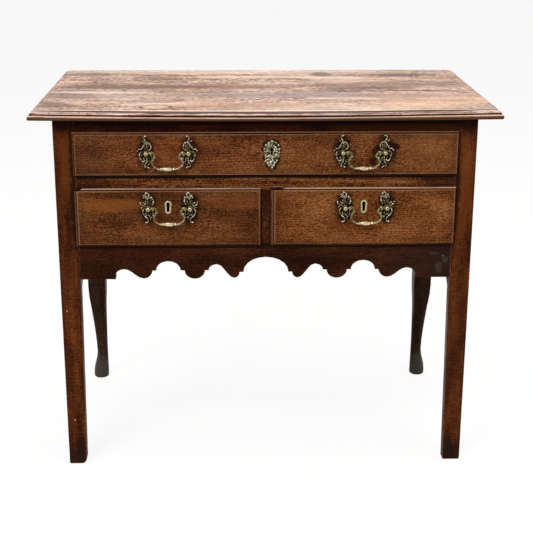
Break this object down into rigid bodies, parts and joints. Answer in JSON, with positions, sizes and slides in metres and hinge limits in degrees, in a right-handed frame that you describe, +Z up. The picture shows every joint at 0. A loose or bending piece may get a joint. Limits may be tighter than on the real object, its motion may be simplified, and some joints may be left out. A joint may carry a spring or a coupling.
{
  "type": "lowboy",
  "caption": "Oak side table with one long lipped drawer over two short ones, a scalloped apron, square front legs, pad-footed back legs and swan-neck brass handles.",
  "frame": {"origin": "on the floor under the middle of the top", "axes": "+X to the right seen from the front, +Y towards the back, +Z up"},
  "size_m": [0.87, 0.51, 0.7235],
  "materials": {
    "top_oak": "worn wax, washed reddish brown",
    "leg_oak": "dark red-brown wax polish",
    "rail_oak": "very dark wax polish",
    "drawer_oak": "mid-brown wax polish",
    "panel_oak": "dull dark oak",
    "liner_oak": "dry unpolished oak",
    "aged_brass": "aged cast brass",
    "lock_iron": "old wrought iron"
  },
  "bodies": {
    "carcass": {"top_board_front": "top_oak", "top_board_rear": "top_oak", "front_leg_left": "leg_oak", "front_leg_right": "leg_oak", "rear_leg_left": "leg_oak", "rear_leg_right": "leg_oak", "side_panel_left": "panel_oak", "side_panel_right": "panel_oak", "back_panel": "panel_oak", "top_rail": "rail_oak", "divider_rail": "rail_oak", "muntin": "rail_oak", "apron": "rail_oak", "upper_bearer_left": "liner_oak", "upper_bearer_right": "liner_oak", "lower_bearer_left": "liner_oak", "lower_bearer_right": "liner_oak", "lower_bearer_centre": "liner_oak", "kicker_left": "liner_oak", "kicker_right": "liner_oak"},
    "upper_drawer": {"upper_drawer_front": "drawer_oak", "upper_drawer_side_left": "liner_oak", "upper_drawer_side_right": "liner_oak", "upper_drawer_back": "liner_oak", "upper_drawer_bottom": "liner_oak", "upper_escutcheon": "aged_brass", "upper_lock_case": "lock_iron", "upper_left_handle_plate_left": "aged_brass", "upper_left_handle_plate_right": "aged_brass", "upper_right_handle_plate_left": "aged_brass", "upper_right_handle_plate_right": "aged_brass"},
    "lower_left_drawer": {"lower_left_drawer_front": "drawer_oak", "lower_left_drawer_side_left": "liner_oak", "lower_left_drawer_side_right": "liner_oak", "lower_left_drawer_back": "liner_oak", "lower_left_drawer_bottom": "liner_oak", "lower_left_escutcheon": "aged_brass", "lower_left_lock_case": "lock_iron", "lower_left_handle_plate_left": "aged_brass", "lower_left_handle_plate_right": "aged_brass"},
    "lower_right_drawer": {"lower_right_drawer_front": "drawer_oak", "lower_right_drawer_side_left": "liner_oak", "lower_right_drawer_side_right": "liner_oak", "lower_right_drawer_back": "liner_oak", "lower_right_drawer_bottom": "liner_oak", "lower_right_escutcheon": "aged_brass", "lower_right_lock_case": "lock_iron", "lower_right_handle_plate_left": "aged_brass", "lower_right_handle_plate_right": "aged_brass"},
    "upper_left_handle_bail": {"upper_left_handle_bail": "aged_brass"},
    "upper_right_handle_bail": {"upper_right_handle_bail": "aged_brass"},
    "lower_left_handle_bail": {"lower_left_handle_bail": "aged_brass"},
    "lower_right_handle_bail": {"lower_right_handle_bail": "aged_brass"},
    "upper_lock_bolt": {"upper_lock_bolt": "lock_iron"},
    "lower_left_lock_bolt": {"lower_left_lock_bolt": "lock_iron"},
    "lower_right_lock_bolt": {"lower_right_lock_bolt": "lock_iron"}
  },
  "joints": [
    {"name": "upper_drawer_slide", "type": "slide", "parent": "carcass", "child": "upper_drawer", "axis": [0, -1, 0], "range_m": [0, 0.36]},
    {"name": "lower_left_drawer_slide", "type": "slide", "parent": "carcass", "child": "lower_left_drawer", "axis": [0, -1, 0], "range_m": [0, 0.36]},
    {"name": "lower_right_drawer_slide", "type": "slide", "parent": "carcass", "child": "lower_right_drawer", "axis": [0, -1, 0], "range_m": [0, 0.36]},
    {"name": "upper_left_handle_swing", "type": "hinge", "parent": "upper_drawer", "child": "upper_left_handle_bail", "pos_m": [-0.1835, -0.241, 0.642], "axis": [-1, 0, 0], "range_deg": [-8, 165]},
    {"name": "upper_right_handle_swing", "type": "hinge", "parent": "upper_drawer", "child": "upper_right_handle_bail", "pos_m": [0.1815, -0.241, 0.642], "axis": [-1, 0, 0], "range_deg": [-8, 165]},
    {"name": "lower_left_handle_swing", "type": "hinge", "parent": "lower_left_drawer", "child": "lower_left_handle_bail", "pos_m": [-0.1825, -0.241, 0.536], "axis": [-1, 0, 0], "range_deg": [-8, 165]},
    {"name": "lower_right_handle_swing", "type": "hinge", "parent": "lower_right_drawer", "child": "lower_right_handle_bail", "pos_m": [0.188, -0.241, 0.536], "axis": [-1, 0, 0], "range_deg": [-8, 165]},
    {"name": "upper_bolt_throw", "type": "slide", "parent": "upper_drawer", "child": "upper_lock_bolt", "axis": [0, 0, 1], "range_m": [0, 0.007]},
    {"name": "lower_left_bolt_throw", "type": "slide", "parent": "lower_left_drawer", "child": "lower_left_lock_bolt", "axis": [0, 0, 1], "range_m": [0, 0.007]},
    {"name": "lower_right_bolt_throw", "type": "slide", "parent": "lower_right_drawer", "child": "lower_right_lock_bolt", "axis": [0, 0, 1], "range_m": [0, 0.007]}
  ]
}
